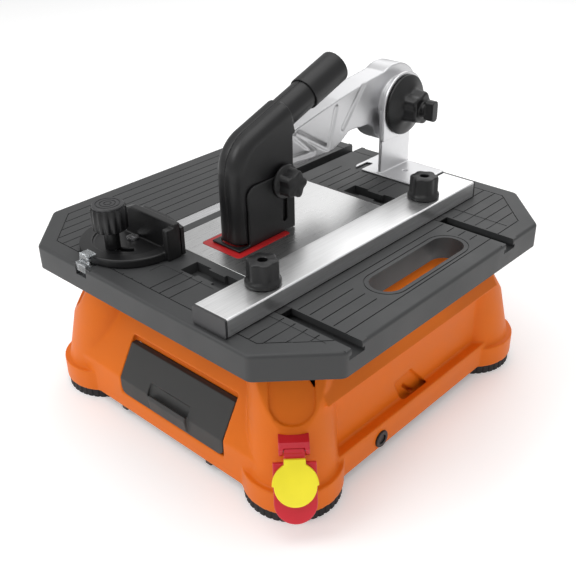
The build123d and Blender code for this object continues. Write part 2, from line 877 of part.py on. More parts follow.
def whole_hood():
    """Hollow hood before it is parted into its two shells."""
    with BuildPart() as shell:
        add(hood_body(0))
        add(hood_body(hood_wall), mode=Mode.SUBTRACT)
        # Slot for the arm's tongue.
        with Locations(at(-9.8, hood_rear_y - 1, tongue_z)):
            Box(8.4, 5, tongue_height + 0.6, mode=Mode.SUBTRACT)
    return shell.part


hood_shell = whole_hood()
hold_knob_y = -26.5
hold_knob_z = 55

with BuildPart() as hood_left:
    add(hood_shell)
    with BuildSketch(side(0)):
        with Locations((0, 80)):
            Rectangle(400, 400)
    extrude(amount=40, mode=Mode.SUBTRACT)
    for z in hood_screw_z:
        with BuildSketch(side(-20)):
            with Locations((hood_screw_y, z)):
                Circle(1.6)
        extrude(amount=8, mode=Mode.SUBTRACT)
hood_left.part.label = "hood_left"
export_step(hood_left.part, "parts/hood_left.step")

with BuildPart() as hood_right:
    add(hood_shell)
    with BuildSketch(side(0)):
        with Locations((0, 80)):
            Rectangle(400, 400)
    extrude(amount=-40, mode=Mode.SUBTRACT)
    with BuildSketch(side(10)):
        with Locations((hold_knob_y, hold_knob_z)):
            Circle(3 + running_gap)
    extrude(amount=10, mode=Mode.SUBTRACT)
hood_right.part.label = "hood_right"
export_step(hood_right.part, "parts/hood_right.step")

with BuildPart() as hood_screws:
    for z in hood_screw_z:
        with BuildSketch(side(-hood_half)):
            with Locations((hood_screw_y, z)):
                Circle(1.6)
        extrude(amount=9.5)
        with BuildSketch(side(-hood_half)):
            with Locations((hood_screw_y, z)):
                Circle(3.2)
        extrude(amount=-1.8)
hood_screws.part.label = "hood_screws"
export_step(hood_screws.part, "parts/hood_screws.step")

with BuildPart() as dust_sleeve:
    with BuildSketch(tube_plane(0)):
        Circle(sleeve_r)
        Circle(tube_r, mode=Mode.SUBTRACT)
    extrude(amount=tube_length)
    with BuildSketch(tube_plane(12)):
        Circle(tube_r)
        Circle(tube_r - 1.4, mode=Mode.SUBTRACT)
    extrude(amount=tube_length - 12)
dust_sleeve.part.label = "dust_sleeve"
export_step(dust_sleeve.part, "parts/dust_sleeve.step")

# ---- Hold-down ----

slider_in = hood_half + 0.3
slider_out = hood_half + 3
shoe_left = -hood_half - 2.1
shoe_front = hood_front_y - 4.5
shoe_low = 0.8
shoe_high = 3
prong_y = -74
lift_range = 40

with BuildPart() as hold_down_foot:
    with BuildSketch(side(slider_in)):
        with Locations(((-77 - 12) / 2, 27)):
            Rectangle(65, 2 * (27 - shoe_low))
        with Locations((-50, 47)):
            RectangleRounded(55, 32, 12)
        with Locations((-26, 45)):
            Rectangle(28, 36)
        with Locations((hold_knob_y, hold_knob_z - lift_range / 2)):
            SlotOverall(lift_range + 7, 6.6, rotation=90, mode=Mode.SUBTRACT)
    extrude(amount=slider_out - slider_in)
    with BuildSketch(level(shoe_low)):
        with Locations(((shoe_left + slider_out) / 2, -53)):
            Rectangle(slider_out - shoe_left, 2 * (-53 - shoe_front))
        with Locations((0, -40)):
            Rectangle(2 * slider_in, 2 * (-40 - hood_front_y - 12 + 1), mode=Mode.SUBTRACT)
        with Locations((0, hood_front_y + 13)):
            RectangleRounded(2 * slider_in, 27, 12.5, mode=Mode.SUBTRACT)
        with Locations((0, 30)):
            Rectangle(80, 200, mode=Mode.SUBTRACT)
    extrude(amount=shoe_high - shoe_low)
    with Locations(at((shoe_left - slider_in) / 2, prong_y, 24)):
        Box(-slider_in - shoe_left, 4, 45)
hold_down_foot.part.label = "hold_down_foot"
export_step(hold_down_foot.part, "parts/hold_down_foot.step")

with BuildPart() as hold_down_knob:
    with BuildSketch(side(slider_out + 0.4)):
        with Locations((hold_knob_y, hold_knob_z)):
            Circle(17.5)
    extrude(amount=2.6)
    chamfer(hold_down_knob.faces().sort_by(Axis.X)[-1].edges(), 1)
    with BuildSketch(side(slider_out + 3)):
        with Locations((hold_knob_y, hold_knob_z)):
            Circle(11)
            with PolarLocations(11, 5):
                Circle(4.2)
    extrude(amount=15)
    fillet(hold_down_knob.faces().sort_by(Axis.X)[-1].edges(), 1.2)
    with BuildSketch(side(12)):
        with Locations((hold_knob_y, hold_knob_z)):
            Circle(3)
    extrude(amount=12)
hold_down_knob.part.label = "hold_down_knob"
export_step(hold_down_knob.part, "parts/hold_down_knob.step")

# ---- Rip fence ----

fence_low = 0.2
fence_skin = 2.2
fence_knob_height = 23

with BuildPart() as fence_rail:
    with BuildSketch(front(fence_front + 2.5)):
        with Locations((fence_knob_x, (fence_low + fence_height) / 2)):
            RectangleRounded(fence_width, fence_height - fence_low, 1.6)
            Rectangle(
                fence_width - 2 * fence_skin,
                fence_height - fence_low - 2 * fence_skin,
                mode=Mode.SUBTRACT,
            )
    extrude(amount=-(fence_rear - fence_front - 5))
    with Locations(*[at(fence_knob_x, y, 9) for y in fence_slot_y]):
        Cylinder(3, 30, mode=Mode.SUBTRACT)
fence_rail.part.label = "fence_rail"
export_step(fence_rail.part, "parts/fence_rail.step")

with BuildPart() as fence_end_caps:
    for y, way in ((fence_front, 1), (fence_rear, -1)):
        with BuildSketch(front(y)):
            with Locations((fence_knob_x, (fence_low + fence_height) / 2)):
                RectangleRounded(fence_width, fence_height - fence_low, 1.6)
        extrude(amount=-2.5 * way)
        with BuildSketch(front(y + 2.5 * way)):
            with Locations((fence_knob_x, (fence_low + fence_height) / 2)):
                Rectangle(fence_width - 2 * fence_skin, fence_height - fence_low - 2 * fence_skin)
        extrude(amount=-8 * way)
fence_end_caps.part.label = "fence_end_caps"
export_step(fence_end_caps.part, "parts/fence_end_caps.step")

with BuildPart() as fence_slide_blocks:
    for slot_y in fence_slot_y:
        with Locations(at(104, slot_y, -2.6)):
            Box(42, fence_slot_width - 0.6, 5.6)
        with Locations(at(fence_knob_x, slot_y, -2.6)):
            Cylinder(3, 12, mode=Mode.SUBTRACT)
fence_slide_blocks.part.label = "fence_slide_blocks"
export_step(fence_slide_blocks.part, "parts/fence_slide_blocks.step")

with BuildPart() as fence_t_bolts:
    for slot_y in fence_slot_y:
        with Locations(at(fence_knob_x, slot_y, -7.9)):
            Box(14, 18.8, 3)
        with Locations(at(fence_knob_x, slot_y, 14)):
            Cylinder(3, 44)
fence_t_bolts.part.label = "fence_t_bolts"
export_step(fence_t_bolts.part, "parts/fence_t_bolts.step")

for place, slot_y in zip(("front", "rear"), fence_slot_y):
    with BuildPart() as fence_knob:
        with BuildSketch(level(fence_height + 0.3)):
            with Locations((fence_knob_x, slot_y)):
                Circle(16.5)
        extrude(amount=6)
        fillet(fence_knob.faces().sort_by(Axis.Z)[-1].edges(), 2.5)
        with BuildSketch(level(fence_height + 5)):
            with Locations((fence_knob_x, slot_y)):
                Circle(12.4)
                with PolarLocations(12.2, 6):
                    Circle(3.2)
        extrude(amount=fence_knob_height - 4.7, taper=1.5)
        fillet(fence_knob.faces().sort_by(Axis.Z)[-1].edges(), 1)
        with Locations(at(fence_knob_x, slot_y, fence_height + fence_knob_height)):
            Cylinder(4.5, 10, mode=Mode.SUBTRACT)
        with Locations(at(fence_knob_x, slot_y, fence_height + 10)):
            Cylinder(3 + running_gap, 60, mode=Mode.SUBTRACT)
    fence_knob.part.label = f"fence_knob_{place}"
    export_step(fence_knob.part, f"parts/fence_knob_{place}.step")

# ---- Miter gauge ----

miter_pivot_y = -146
miter_stud_y = -170
head_r = 52
head_low = 0.5
head_high = 9
head_floor = 6
bar_front = -204
bar_rear = 90
bar_half = miter_slot_width / 2 - 0.4
face_left = -100
face_right = -19.2
face_top = 36
slot_swing = 55

with BuildPart() as miter_bar:
    with Locations(at(miter_x, (bar_front + bar_rear) / 2, -4.7)):
        Box(2 * bar_half, bar_rear - bar_front, 8.6)
    chamfer(miter_bar.edges().filter_by(Axis.Z), 1)
    with Locations(at(miter_x, miter_stud_y, 20)):
        Cylinder(3, 50)
    with Locations(at(miter_x, miter_pivot_y, -4)):
        Cylinder(2.5, 12, mode=Mode.SUBTRACT)
miter_bar.part.label = "miter_bar"
export_step(miter_bar.part, "parts/miter_bar.step")

with BuildPart() as miter_pivot:
    with Locations(at(miter_x, miter_pivot_y, -4.7)):
        Cylinder(2.5, 8.6)
    with Locations(at(miter_x, miter_pivot_y, 3)):
        Cylinder(3.5, 6.8)
    with Locations(at(miter_x, miter_pivot_y, 7.4)):
        Cylinder(6, 2)
    with Locations(at(miter_x, miter_pivot_y, 8)):
        Box(8, 1.2, 1.2, mode=Mode.SUBTRACT)
miter_pivot.part.label = "miter_pivot"
export_step(miter_pivot.part, "parts/miter_pivot.step")

with BuildPart() as miter_pointer:
    with Locations(at(miter_x, bar_front - 2.5, -1)):
        Box(15, 5, 9)
    with Locations(at(miter_x, bar_front + 0.2, 6.5)):
        Box(12, 2.4, 7)
    with Locations(at(miter_x, bar_front + 4.2, 10.6)):
        Box(12, 10.4, 1.6)
miter_pointer.part.label = "miter_pointer"
export_step(miter_pointer.part, "parts/miter_pointer.step")

with BuildPart() as miter_head:
    with BuildSketch(level(head_low)):
        with Locations((miter_x, miter_pivot_y)):
            Circle(head_r)
        with Locations((miter_x, miter_pivot_y + 15 + 50)):
            Rectangle(140, 100, mode=Mode.SUBTRACT)
    extrude(amount=head_high - head_low)
    fillet(miter_head.faces().sort_by(Axis.Z)[-1].edges().filter_by(GeomType.CIRCLE), 1.2)
    with BuildSketch(level(head_floor)):
        with Locations((miter_x, miter_pivot_y)):
            Circle(head_r - 13)
        with Locations((miter_x, miter_pivot_y + 7 + 50)):
            Rectangle(140, 100, mode=Mode.SUBTRACT)
    extrude(amount=5, mode=Mode.SUBTRACT)
    with BuildSketch(level(head_low)):
        with Locations(((face_left + face_right) / 2, miter_pivot_y + 11)):
            RectangleRounded(face_right - face_left, 8, 1.5)
    extrude(amount=face_top - head_low)
    with BuildSketch(front(miter_pivot_y)):
        with BuildLine():
            Polyline((face_left - 1, 29), (face_left + 18, face_top + 1), (face_left - 1, face_top + 1), close=True)
        make_face()
    extrude(amount=-20, mode=Mode.SUBTRACT)
    with BuildSketch(level(head_low)):
        with Locations((face_right - 3.5, miter_pivot_y + 6)):
            RectangleRounded(7, 16, 1.5)
    extrude(amount=face_top - 4)
    with BuildSketch(level(0)):
        with Locations((miter_x, miter_pivot_y)):
            Circle(24 + 3.4)
            Circle(24 - 3.4, mode=Mode.SUBTRACT)
        with BuildLine():
            reach_x = 60 * math.sin(math.radians(slot_swing))
            reach_y = 60 * math.cos(math.radians(slot_swing))
            Polyline(
                (miter_x, miter_pivot_y),
                (miter_x - reach_x, miter_pivot_y - reach_y),
                (miter_x, miter_pivot_y - 120),
                (miter_x + reach_x, miter_pivot_y - reach_y),
                close=True,
            )
        make_face(mode=Mode.INTERSECT)
    extrude(amount=20, mode=Mode.SUBTRACT)
    with Locations(at(miter_x, miter_pivot_y, 5)):
        Cylinder(3.5 + running_gap, 30, mode=Mode.SUBTRACT)
miter_head.part.label = "miter_head"
export_step(miter_head.part, "parts/miter_head.step")

with BuildPart() as miter_face:
    with BuildSketch(front(miter_pivot_y + 15.2)):
        with BuildLine():
            Polyline(
                (face_left + 6, 1.5),
                (face_right, 1.5),
                (face_right, face_top - 6),
                (face_right - 20, face_top - 1),
                (face_left + 24, face_top - 1),
                (face_left + 6, 28),
                close=True,
            )
        make_face()
    extrude(amount=-4)
miter_face.part.label = "miter_face"
export_step(miter_face.part, "parts/miter_face.step")

with BuildPart() as miter_knob:
    with Locations(at(miter_x, miter_stud_y, 17)):
        Cylinder(7.5, 21.4)
    with BuildSketch(level(27)):
        with Locations((miter_x, miter_stud_y)):
            Circle(17)
            with PolarLocations(17.6, 16):
                Circle(1.7, mode=Mode.SUBTRACT)
    extrude(amount=23)
    with Locations(at(miter_x, miter_stud_y, 20)):
        Cylinder(3 + running_gap, 51, mode=Mode.SUBTRACT)
miter_knob.part.label = "miter_knob"
export_step(miter_knob.part, "parts/miter_knob.step")

with BuildPart() as miter_knob_cap:
    with Locations(at(miter_x, miter_stud_y, 51.3)):
        Cylinder(15.5, 2.6)
    chamfer(miter_knob_cap.faces().sort_by(Axis.Z)[-1].edges(), 0.8)
    for ring_r in (12, 8, 4):
        with BuildSketch(level(52.6)):
            with Locations((miter_x, miter_stud_y)):
                Circle(ring_r)
                Circle(ring_r - 1, mode=Mode.SUBTRACT)
        extrude(amount=-0.6, mode=Mode.SUBTRACT)
miter_knob_cap.part.label = "miter_knob_cap"
export_step(miter_knob_cap.part, "parts/miter_knob_cap.step")

# ---- Blade and its drive ----

rod_r = 4.5
blade_half = 0.7
blade_width = 8
blade_low = -44
blade_high = 52
tooth_pitch = 3
clamp_low = -46
clamp_high = -32
yoke_z = gear_z - stroke / 2

with BuildPart() as saw_blade:
    front_edge = blade_y - blade_width / 2
    tooth_count = 22
    tooth_start = -18
    with BuildSketch(side(-blade_half)):
        with BuildLine():
            outline = [(front_edge, blade_low)]
            for i in range(tooth_count):
                z = tooth_start + i * tooth_pitch
                outline.append((front_edge, z))
                outline.append((front_edge + 1.4, z + 0.6))
            outline.append((front_edge, tooth_start + tooth_count * tooth_pitch))
            outline.append((blade_y + blade_width / 2 - 2, blade_high))
            outline.append((blade_y + blade_width / 2, blade_high - 2))
            outline.append((blade_y + blade_width / 2, blade_low))
            Polyline(*outline, close=True)
        make_face()
    extrude(amount=2 * blade_half)
saw_blade.part.label = "saw_blade"
export_step(saw_blade.part, "parts/saw_blade.step")

with BuildPart() as blade_clamp:
    with Locations(at(0, blade_y, (clamp_low + clamp_high) / 2)):
        Cylinder(8, clamp_high - clamp_low)
    chamfer(blade_clamp.edges().filter_by(GeomType.CIRCLE), 0.8)
    with Locations(at(0, blade_y, (clamp_high + blade_low) / 2 + 1)):
        Box(2 * blade_half, blade_width, clamp_high - blade_low + 2, mode=Mode.SUBTRACT)
blade_clamp.part.label = "blade_clamp"
export_step(blade_clamp.part, "parts/blade_clamp.step")

with BuildPart() as plunger:
    with Locations(at(0, blade_y, (clamp_low - 140) / 2)):
        Cylinder(rod_r, clamp_low + 140)
    with Locations(at(0, blade_y + 5, yoke_z)):
        Box(36, 6, 14)
    fillet(plunger.edges().filter_by(Axis.Y), 2)
    with Locations(at(0, blade_y + 6.6, yoke_z)):
        Box(28, 4, 8.6, mode=Mode.SUBTRACT)
plunger.part.label = "plunger"
export_step(plunger.part, "parts/plunger.step")

with BuildPart() as plunger_bushes:
    for low, high in ((-128, -110), (-64, -50)):
        with Locations(at(0, blade_y, (low + high) / 2)):
            Cylinder(8, high - low)
            Cylinder(rod_r + running_gap, high - low, mode=Mode.SUBTRACT)
plunger_bushes.part.label = "plunger_bushes"
export_step(plunger_bushes.part, "parts/plunger_bushes.step")


def gear_outline(teeth, turned):
    """Spur gear outline with straight-flanked teeth, the first tooth turned by some degrees."""
    pitch = 2 * math.pi / teeth
    root = gear_module * (teeth / 2 - 1.15)
    tip = gear_module * (teeth / 2 + 0.8)
    corners_of_tooth = ((-0.29, root), (-0.11, tip), (0.11, tip), (0.29, root))
    points = []
    for i in range(teeth):
        for share, radius in corners_of_tooth:
            angle = math.radians(turned) + (i + share) * pitch
            points.append((radius * math.cos(angle), radius * math.sin(angle)))
    return points


gear_front_y = -49.5
gear_face = 8

with BuildPart() as crank_gear:
    with BuildSketch(front(gear_front_y)):
        with BuildLine():
            Polyline(*[(x, gear_z + z) for x, z in gear_outline(gear_teeth, 0)], close=True)
        make_face()
    extrude(amount=-gear_face)
    with BuildSketch(front(gear_front_y)):
        with Locations((0, gear_z)):
            Circle(20)
            Circle(15, mode=Mode.SUBTRACT)
    extrude(amount=-2, mode=Mode.SUBTRACT)
    with BuildSketch(front(gear_front_y)):
        with Locations((0, yoke_z)):
            Circle(4)
    extrude(amount=2)
    with BuildSketch(front(gear_front_y + gear_face)):
        with Locations((0, gear_z)):
            Circle(7)
    extrude(amount=-4)
    with BuildSketch(front(gear_front_y + gear_face)):
        with Locations((0, gear_z)):
            Circle(shaft_r)
    extrude(amount=-13)
crank_gear.part.label = "crank_gear"
export_step(crank_gear.part, "parts/crank_gear.step")

wall_rear_y = -29
bearing_length = 7
core_front_y = -2
core_length = 46

with BuildPart() as gearbox_housing:
    with Locations(at(0, -53.5, -90)):
        Box(68, 49, 80)
    with BuildSketch(front(-36)):
        with Locations((0, pinion_z)):
            Circle(40)
    extrude(amount=-bearing_length)
    with Locations(at(0, -62, -84)):
        Box(48, 22, 38, mode=Mode.SUBTRACT)
    with Locations(at(0, -43.5, -89.5)):
        Box(56, 15, 67, mode=Mode.SUBTRACT)
    with Locations(at(0, blade_y, -90)):
        Cylinder(8, 100, mode=Mode.SUBTRACT)
    with BuildSketch(front(-40)):
        with Locations((0, gear_z), (0, pinion_z)):
            Circle(bearing_r)
        with Locations((27, pinion_z - 27), (-27, pinion_z - 27)):
            Circle(1.5)
    extrude(amount=-20, mode=Mode.SUBTRACT)
    for x in (-28, 28):
        for y in (-72, -46):
            with Locations(at(x, y, (housing_floor + 4 - 130) / 2)):
                Cylinder(6, -130 - housing_floor - 4)
gearbox_housing.part.label = "gearbox_housing"
export_step(gearbox_housing.part, "parts/gearbox_housing.step")

for name, bearing_y, bearing_z in (
    ("gear_bearing", wall_rear_y - bearing_length / 2, gear_z),
    ("front_bearing", wall_rear_y - bearing_length / 2, pinion_z),
    ("rear_bearing", 89.5, pinion_z),
):
    with BuildPart() as bearing:
        with BuildSketch(front(bearing_y - bearing_length / 2)):
            with Locations((0, bearing_z)):
                Circle(bearing_r)
                Circle(shaft_r + running_gap, mode=Mode.SUBTRACT)
        extrude(amount=-bearing_length)
    bearing.part.label = name
    export_step(bearing.part, f"parts/{name}.step")

with BuildPart() as armature:
    with BuildSketch(front(gear_front_y + gear_face)):
        with Locations((0, pinion_z)):
            Circle(shaft_r)
    extrude(amount=-(92.5 - gear_front_y - gear_face))
    with BuildSketch(front(gear_front_y)):
        with BuildLine():
            Polyline(*[(x, pinion_z + z) for x, z in gear_outline(pinion_teeth, 15)], close=True)
        make_face()
    extrude(amount=-gear_face)
    with BuildSketch(front(core_front_y)):
        with Locations((0, pinion_z)):
            Circle(21)
            with PolarLocations(19.5, 12):
                Rectangle(5, 2.2, mode=Mode.SUBTRACT)
    extrude(amount=-core_length)
    with BuildSketch(front(54)):
        with Locations((0, pinion_z)):
            Circle(11)
    extrude(amount=-16)
armature.part.label = "armature"
export_step(armature.part, "parts/armature.step")

with BuildPart() as cooling_fan:
    with BuildSketch(front(-20)):
        with Locations((0, pinion_z)):
            Circle(31)
            Circle(shaft_r, mode=Mode.SUBTRACT)
    extrude(amount=-2)
    with BuildSketch(front(-20)):
        with Locations((0, pinion_z)):
            Circle(8)
            Circle(shaft_r, mode=Mode.SUBTRACT)
            with PolarLocations(20, 10):
                Rectangle(20, 1.6)
    extrude(amount=-11)
cooling_fan.part.label = "cooling_fan"
export_step(cooling_fan.part, "parts/cooling_fan.step")

with BuildPart() as stator:
    with BuildSketch(front(core_front_y)):
        with Locations((0, pinion_z)):
            Circle(36)
            Rectangle(44, 44, mode=Mode.SUBTRACT)
            Circle(23, mode=Mode.SUBTRACT)
    extrude(amount=-core_length)
stator.part.label = "stator"
export_step(stator.part, "parts/stator.step")

with BuildPart() as motor_housing:
    with Locations(at(0, 60, (housing_floor + 4 - 136) / 2)):
        Box(60, 24, -136 - housing_floor - 4)
    with BuildSketch(front(40)):
        with Locations((0, pinion_z)):
            Circle(38)
    extrude(amount=-40, mode=Mode.SUBTRACT)
    with BuildSketch(front(wall_rear_y)):
        with Locations((0, pinion_z)):
            Circle(40)
            Circle(36, mode=Mode.SUBTRACT)
    extrude(amount=-(97 - wall_rear_y))
    with BuildSketch(front(93)):
        with Locations((0, pinion_z)):
            Circle(36)
            with PolarLocations(25, 8):
                SlotOverall(14, 5, mode=Mode.SUBTRACT)
    extrude(amount=-4)
    with BuildSketch(front(86)):
        with Locations((0, pinion_z)):
            Circle(14)
            Circle(bearing_r, mode=Mode.SUBTRACT)
    extrude(amount=-7)
    with BuildSketch(front(wall_rear_y)):
        with Locations((27, pinion_z - 27), (-27, pinion_z - 27)):
            Circle(1.5)
    extrude(amount=-16, mode=Mode.SUBTRACT)
motor_housing.part.label = "motor_housing"
export_step(motor_housing.part, "parts/motor_housing.step")

with BuildPart() as motor_screws:
    for x in (-27, 27):
        with BuildSketch(front(-36)):
            with Locations((x, pinion_z - 27)):
                Circle(1.5)
        extrude(amount=-20)
        with BuildSketch(front(-36)):
            with Locations((x, pinion_z - 27)):
                Circle(2.8)
        extrude(amount=1.8)
motor_screws.part.label = "motor_screws"
export_step(motor_screws.part, "parts/motor_screws.step")

with BuildPart() as carbon_brushes:
    for way in (-1, 1):
        with Locations(at(way * 20.7, 62, pinion_z)):
            Box(18.6, 8, 6)
        with Locations(at(way * 32.8, 62, pinion_z)):
            Box(5.6, 12, 6.4)
carbon_brushes.part.label = "carbon_brushes"
export_step(carbon_brushes.part, "parts/carbon_brushes.step")
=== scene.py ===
"""Looks of the benchtop saw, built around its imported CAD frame."""

import json
import math

import bmesh
import bpy
from mathutils import Matrix, Vector


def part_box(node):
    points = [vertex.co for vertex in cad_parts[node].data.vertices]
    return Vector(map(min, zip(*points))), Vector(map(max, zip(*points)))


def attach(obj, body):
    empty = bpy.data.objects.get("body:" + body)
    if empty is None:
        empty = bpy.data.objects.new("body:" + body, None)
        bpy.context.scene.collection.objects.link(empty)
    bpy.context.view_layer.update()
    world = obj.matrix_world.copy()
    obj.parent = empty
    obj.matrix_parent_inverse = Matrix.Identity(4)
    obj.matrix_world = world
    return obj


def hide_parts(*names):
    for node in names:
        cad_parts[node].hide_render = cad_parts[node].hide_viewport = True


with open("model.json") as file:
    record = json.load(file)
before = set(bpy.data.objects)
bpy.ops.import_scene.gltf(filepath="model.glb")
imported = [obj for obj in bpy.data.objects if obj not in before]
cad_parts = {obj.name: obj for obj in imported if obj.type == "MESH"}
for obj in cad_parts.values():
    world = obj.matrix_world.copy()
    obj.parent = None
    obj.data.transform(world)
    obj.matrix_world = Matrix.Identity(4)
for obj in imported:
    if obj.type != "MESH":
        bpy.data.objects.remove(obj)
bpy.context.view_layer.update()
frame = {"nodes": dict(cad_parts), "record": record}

MM = 0.001
table_low, table_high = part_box("work_table")
TABLE_Y = (table_low.y + table_high.y) / 2
TABLE_Z = table_high.z


def place(x, y, z):
    """A point in the row frame, from millimetres measured from the middle of the table's top."""
    return Vector((x * MM, TABLE_Y + y * MM, TABLE_Z + z * MM))


# ---- Camera, light and floor ----

CAMERA_AZIMUTH = math.radians(43.17)
CAMERA_ELEVATION = math.radians(30.18)
CAMERA_ROLL = math.radians(-1.14)
CAMERA_POSITION = (551.3, -591.6, 384.4)
CAMERA_LENS = 53.17


def make_camera():
    data = bpy.data.cameras.new("camera")
    data.lens = CAMERA_LENS
    data.sensor_width = 36
    data.clip_end = 20
    camera = bpy.data.objects.new("camera", data)
    bpy.context.scene.collection.objects.link(camera)
    back = Vector(
        (
            math.sin(CAMERA_AZIMUTH) * math.cos(CAMERA_ELEVATION),
            -math.cos(CAMERA_AZIMUTH) * math.cos(CAMERA_ELEVATION),
            math.sin(CAMERA_ELEVATION),
        )
    )
    level_right = Vector((0, 0, 1)).cross(back).normalized()
    level_up = back.cross(level_right)
    right = math.cos(CAMERA_ROLL) * level_right + math.sin(CAMERA_ROLL) * level_up
    up = math.cos(CAMERA_ROLL) * level_up - math.sin(CAMERA_ROLL) * level_right
    turn = Matrix((right, up, back)).transposed().to_4x4()
    camera.matrix_world = Matrix.Translation(place(*CAMERA_POSITION)) @ turn
    bpy.context.scene.camera = camera


def area_light(name, position, target, size, power):
    data = bpy.data.lights.new(name, "AREA")
    data.shape = "RECTANGLE"
    data.size, data.size_y = size
    data.energy = power
    light = bpy.data.objects.new(name, data)
    light.location = position
    light.rotation_euler = (Vector(target) - Vector(position)).to_track_quat("-Z", "Y").to_euler()
    bpy.context.scene.collection.objects.link(light)


def make_studio():
    world = bpy.data.worlds.new("studio")
    world.use_nodes = True
    background = world.node_tree.nodes["Background"]
    background.inputs["Color"].default_value = (1, 1, 1, 1)
    background.inputs["Strength"].default_value = 0.58
    bpy.context.scene.world = world
    bpy.context.scene.view_settings.view_transform = "Standard"
    middle = (0, 0, 0.15)
    area_light("key", (-0.6, -1.3, 1.5), middle, (1.0, 0.9), 10)
    area_light("rear", (-0.5, 1.6, 1.3), middle, (1.8, 0.8), 6)
    area_light("overhead", (0, 0, 2.4), middle, (2.2, 2.2), 22)
    bm = bmesh.new()
    bmesh.ops.create_grid(bm, x_segments=8, y_segments=8, size=3)
    mesh = bpy.data.meshes.new("floor")
    bm.to_mesh(mesh)
    bm.free()
    floor = bpy.data.objects.new("floor", mesh)
    bpy.context.scene.collection.objects.link(floor)
    # The floor glows a little, so that it stays white under soft light.
    floor_paint = material("floor", (0.95, 0.95, 0.95), 0.9, variation=0.0, bump=0.0, specular=0.0)
    floor.data.materials.append(floor_paint)
    floor_shader = floor_paint.node_tree.nodes["Principled BSDF"]
    floor_shader.inputs["Emission Color"].default_value = (1, 1, 1, 1)
    floor_shader.inputs["Emission Strength"].default_value = 0.2


# ---- Materials ----


def material(
    name,
    colour,
    roughness,
    metallic=0.0,
    variation=0.08,
    grain=1500,
    bump=0.12,
    brushed=None,
    specular=0.5,
):
    """Procedural material: broad colour variation, and a fine moulded grain or brushed streaks."""
    made = bpy.data.materials.new(name)
    made.use_nodes = True
    nodes, links = made.node_tree.nodes, made.node_tree.links
    shader = nodes["Principled BSDF"]
    shader.inputs["Metallic"].default_value = metallic
    shader.inputs["Specular IOR Level"].default_value = specular
    coords = nodes.new("ShaderNodeTexCoord")
    stretch = nodes.new("ShaderNodeMapping")
    stretch.inputs["Scale"].default_value = brushed or (1, 1, 1)
    links.new(coords.outputs["Object"], stretch.inputs["Vector"])
    broad = nodes.new("ShaderNodeTexNoise")
    broad.inputs["Scale"].default_value = 22
    broad.inputs["Detail"].default_value = 5
    links.new(coords.outputs["Object"], broad.inputs["Vector"])
    fine = nodes.new("ShaderNodeTexNoise")
    fine.inputs["Scale"].default_value = grain
    fine.inputs["Detail"].default_value = 3
    links.new(stretch.outputs["Vector"], fine.inputs["Vector"])
    tint = nodes.new("ShaderNodeValToRGB")
    darker = [c * (1 - variation) for c in colour]
    lighter = [min(1, c * (1 + variation)) for c in colour]
    tint.color_ramp.elements[0].position = 0.3
    tint.color_ramp.elements[0].color = (*darker, 1)
    tint.color_ramp.elements[1].position = 0.7
    tint.color_ramp.elements[1].color = (*lighter, 1)
    links.new((fine if brushed else broad).outputs["Fac"], tint.inputs["Fac"])
    links.new(tint.outputs["Color"], shader.inputs["Base Color"])
    rough = nodes.new("ShaderNodeMapRange")
    rough.inputs["From Min"].default_value = 0.3
    rough.inputs["From Max"].default_value = 0.7
    rough.inputs["To Min"].default_value = roughness * 0.86
    rough.inputs["To Max"].default_value = min(1, roughness * 1.14)
    links.new((fine if brushed else broad).outputs["Fac"], rough.inputs["Value"])
    links.new(rough.outputs["Result"], shader.inputs["Roughness"])
    if bump:
        relief = nodes.new("ShaderNodeBump")
        relief.inputs["Strength"].default_value = bump
        relief.inputs["Distance"].default_value = 0.0002
        links.new(fine.outputs["Fac"], relief.inputs["Height"])
        links.new(relief.outputs["Normal"], shader.inputs["Normal"])
    return made


make_camera()
make_studio()

